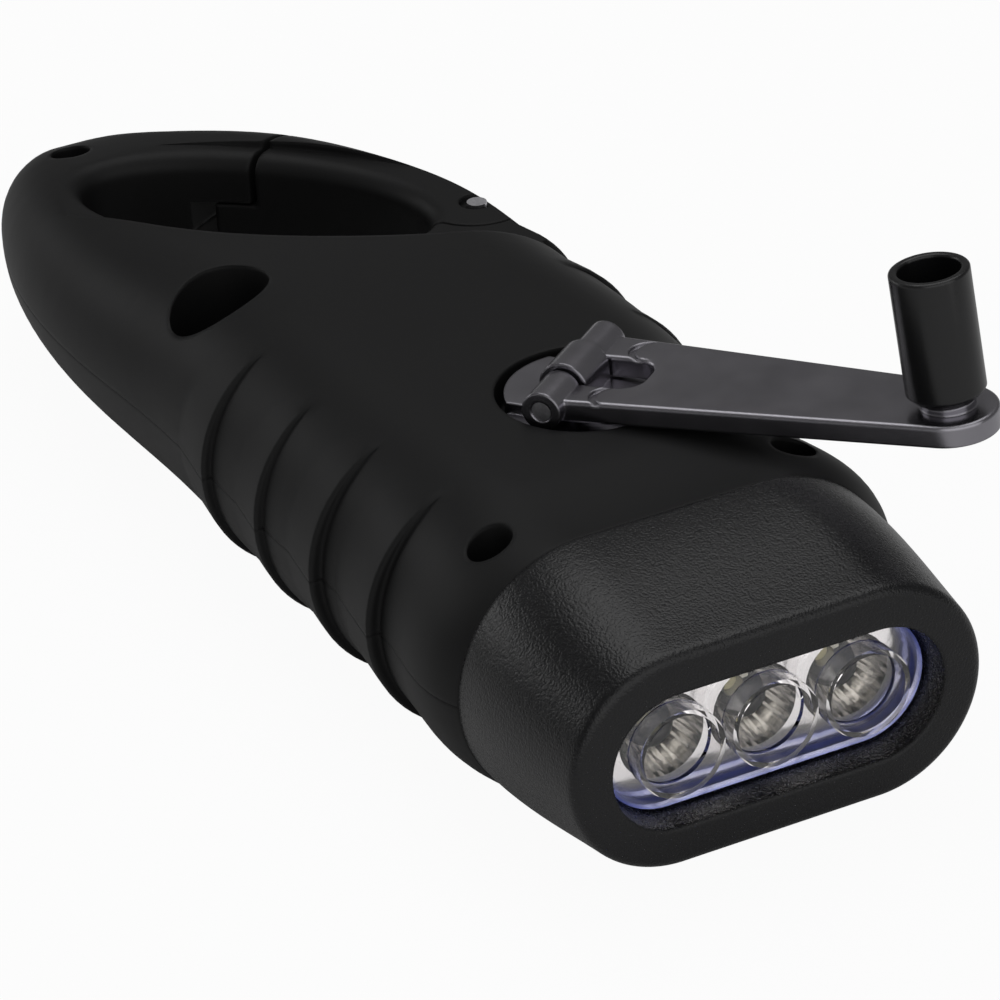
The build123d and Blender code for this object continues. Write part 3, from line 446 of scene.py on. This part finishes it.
def turned(form, outline, centre):
    """Spin an outline of (x, radius) pairs in millimetres round an X-wise axis through centre."""
    verts = [form.verts.new(centre + Vector((x, 0, r)) * MM) for x, r in outline]
    edges = [form.edges.new(pair) for pair in zip(verts, verts[1:])]
    bmesh.ops.spin(
        form, geom=verts + edges, cent=centre, axis=(1, 0, 0), angle=2 * math.pi,
        steps=TURNING_STEPS, use_merge=True, use_duplicate=False,
    )
    bmesh.ops.remove_doubles(form, verts=form.verts, dist=TURNING_MERGE * MM)


def slab(form, low, high):
    """Bevelled bar between two corners in millimetres."""
    low, high = Vector(low) * MM, Vector(high) * MM
    place = Matrix.Translation((low + high) / 2) @ Matrix.Diagonal((*(high - low), 1))
    made = bmesh.ops.create_cube(form, size=1, matrix=place)["verts"]
    edges = list({edge for vert in made for edge in vert.link_edges})
    bmesh.ops.bevel(
        form, geom=edges, offset=LEAD_EDGE * MM, segments=2, affect="EDGES", profile=0.5, material=-1,
    )


def lead_frame(y, centre):
    """The chip's dish on its post, and the second lead beside it."""
    form = bmesh.new()
    turned(form, [(DISH_RIM_X, 0.62), (DISH_FLOOR_X, 0.42), (DISH_FLOOR_X, 0.0)], centre)
    turned(form, [(DISH_RIM_X, 0.66), (39.3, 0.5), (DISH_BACK_X, 0.0)], centre)
    low, high = LAMP_AXIS_Z - LEAD_HALF_THICKNESS, LAMP_AXIS_Z + LEAD_HALF_THICKNESS
    slab(form, (LEAD_ROOT_X, y - 0.9, low), (39.35, y + 0.25, high))
    slab(form, (LEAD_ROOT_X, y + 0.6, low), (39.7, y + 1.1, high))
    return form


def phosphor_dot(centre):
    """The domed dot that fills the dish."""
    form = bmesh.new()
    turned(form, [(39.52, 0.4), (39.75, 0.46), (39.82, 0.3), (39.84, 0.0)], centre)
    return form


def lamp_innards():
    """Lead frame and phosphor dot inside each clear lamp."""
    plate = nickel_plate()
    plate.name = "tinned lead frame"
    yellow = phosphor()
    for name, y in (("left", -LAMP_PITCH), ("middle", 0.0), ("right", LAMP_PITCH)):
        centre = Vector((0, y, LAMP_AXIS_Z)) * MM
        finished_piece("lead_frame_" + name, lead_frame(y, centre), plate, "housing")
        finished_piece("phosphor_dot_" + name, phosphor_dot(centre), yellow, "housing")


# ---------------------------------------------------------------- stage
def backdrop_white():
    """Matt white floor that the camera sees almost white and that keeps a faint, soft shadow."""
    finish = bpy.data.materials.new("white paper sweep")
    finish.use_nodes = True
    tree = finish.node_tree
    tree.nodes.remove(tree.nodes["Principled BSDF"])
    matt = add_node(tree, "ShaderNodeBsdfDiffuse", {"Color": paint("e8e8e8")})
    glow = add_node(tree, "ShaderNodeEmission", {"Strength": 1.0})
    ray = add_node(tree, "ShaderNodeLightPath")
    share = add_node(
        tree, "ShaderNodeMath", {"operation": "MULTIPLY", 1: FLOOR_CAMERA_SHARE},
        {0: ray.outputs["Is Camera Ray"]},
    )
    mix = add_node(
        tree, "ShaderNodeMixShader",
        links={"Fac": share.outputs[0], 1: matt.outputs[0], 2: glow.outputs[0]},
    )
    tree.links.new(mix.outputs[0], tree.nodes["Material Output"].inputs["Surface"])
    return finish


def make_floor():
    """Large round floor under the flashlight."""
    form = bmesh.new()
    bmesh.ops.create_circle(form, cap_ends=True, segments=FLOOR_SEGMENTS, radius=FLOOR_RADIUS)
    mesh = bpy.data.meshes.new("floor")
    form.to_mesh(mesh)
    form.free()
    floor = bpy.data.objects.new("floor", mesh)
    bpy.context.scene.collection.objects.link(floor)
    mesh.materials.append(backdrop_white())


def make_world():
    """Plain pale room: white to the camera and to what lies behind glass, dim to the rest of the object."""
    world = bpy.data.worlds.new("pale room")
    bpy.context.scene.world = world
    world.use_nodes = True
    tree = world.node_tree
    tree.nodes.clear()
    ray = add_node(tree, "ShaderNodeLightPath")
    direct = add_node(
        tree, "ShaderNodeMath", {"operation": "MAXIMUM"},
        {0: ray.outputs["Is Camera Ray"], 1: ray.outputs["Transmission Depth"]},
    )
    level = add_node(
        tree, "ShaderNodeMapRange", {"To Min": ROOM_LEVEL, "To Max": 1.0}, {"Value": direct.outputs[0]},
    )
    sky = add_node(tree, "ShaderNodeBackground", links={"Strength": level.outputs["Result"]})
    output = add_node(tree, "ShaderNodeOutputWorld", links={"Surface": sky.outputs[0]})
    output.is_active_output = True


def softbox(name, place, width, height, power):
    """Rectangular area light turned towards the flashlight."""
    light = bpy.data.lights.new(name, "AREA")
    light.shape = "RECTANGLE"
    light.size = width
    light.size_y = height
    light.energy = power
    lamp = bpy.data.objects.new(name, light)
    bpy.context.scene.collection.objects.link(lamp)
    lamp.location = place
    lamp.rotation_euler = (Vector(LIT_PLACE) - Vector(place)).to_track_quat("-Z", "Y").to_euler()


def make_lights():
    """Plain soft studio light: overhead box, a wide white card in front and a strip behind the near side."""
    softbox("overhead", (-0.25, 0.15, 0.9), 0.9, 0.7, 3.2)
    softbox("front_card", (1.2, -0.1, 0.55), 2.4, 1.5, 10.0)
    softbox("rim_strip", (-0.8, -0.6, 0.35), 0.7, 0.25, 0.9)


def make_camera():
    """Camera of the photograph: place and turn solved from the object's own outlines."""
    right = Vector(CAMERA_RIGHT).normalized()
    forward = Vector(CAMERA_FORWARD).normalized()
    up = right.cross(forward)
    turn = Matrix((right, up, -forward)).transposed()
    data = bpy.data.cameras.new("camera")
    data.sensor_width = SENSOR_WIDTH
    data.lens = FOCAL_PIXELS * SENSOR_WIDTH / IMAGE_PIXELS
    data.clip_start = CLIP_START
    camera = bpy.data.objects.new("camera", data)
    bpy.context.scene.collection.objects.link(camera)
    camera.matrix_world = Matrix.Translation(CAMERA_PLACE) @ turn.to_4x4()
    bpy.context.scene.camera = camera
    bpy.context.scene.view_settings.view_transform = "Standard"


make_camera()
dress_nodes()
lamp_innards()
make_floor()
make_world()
make_lights()
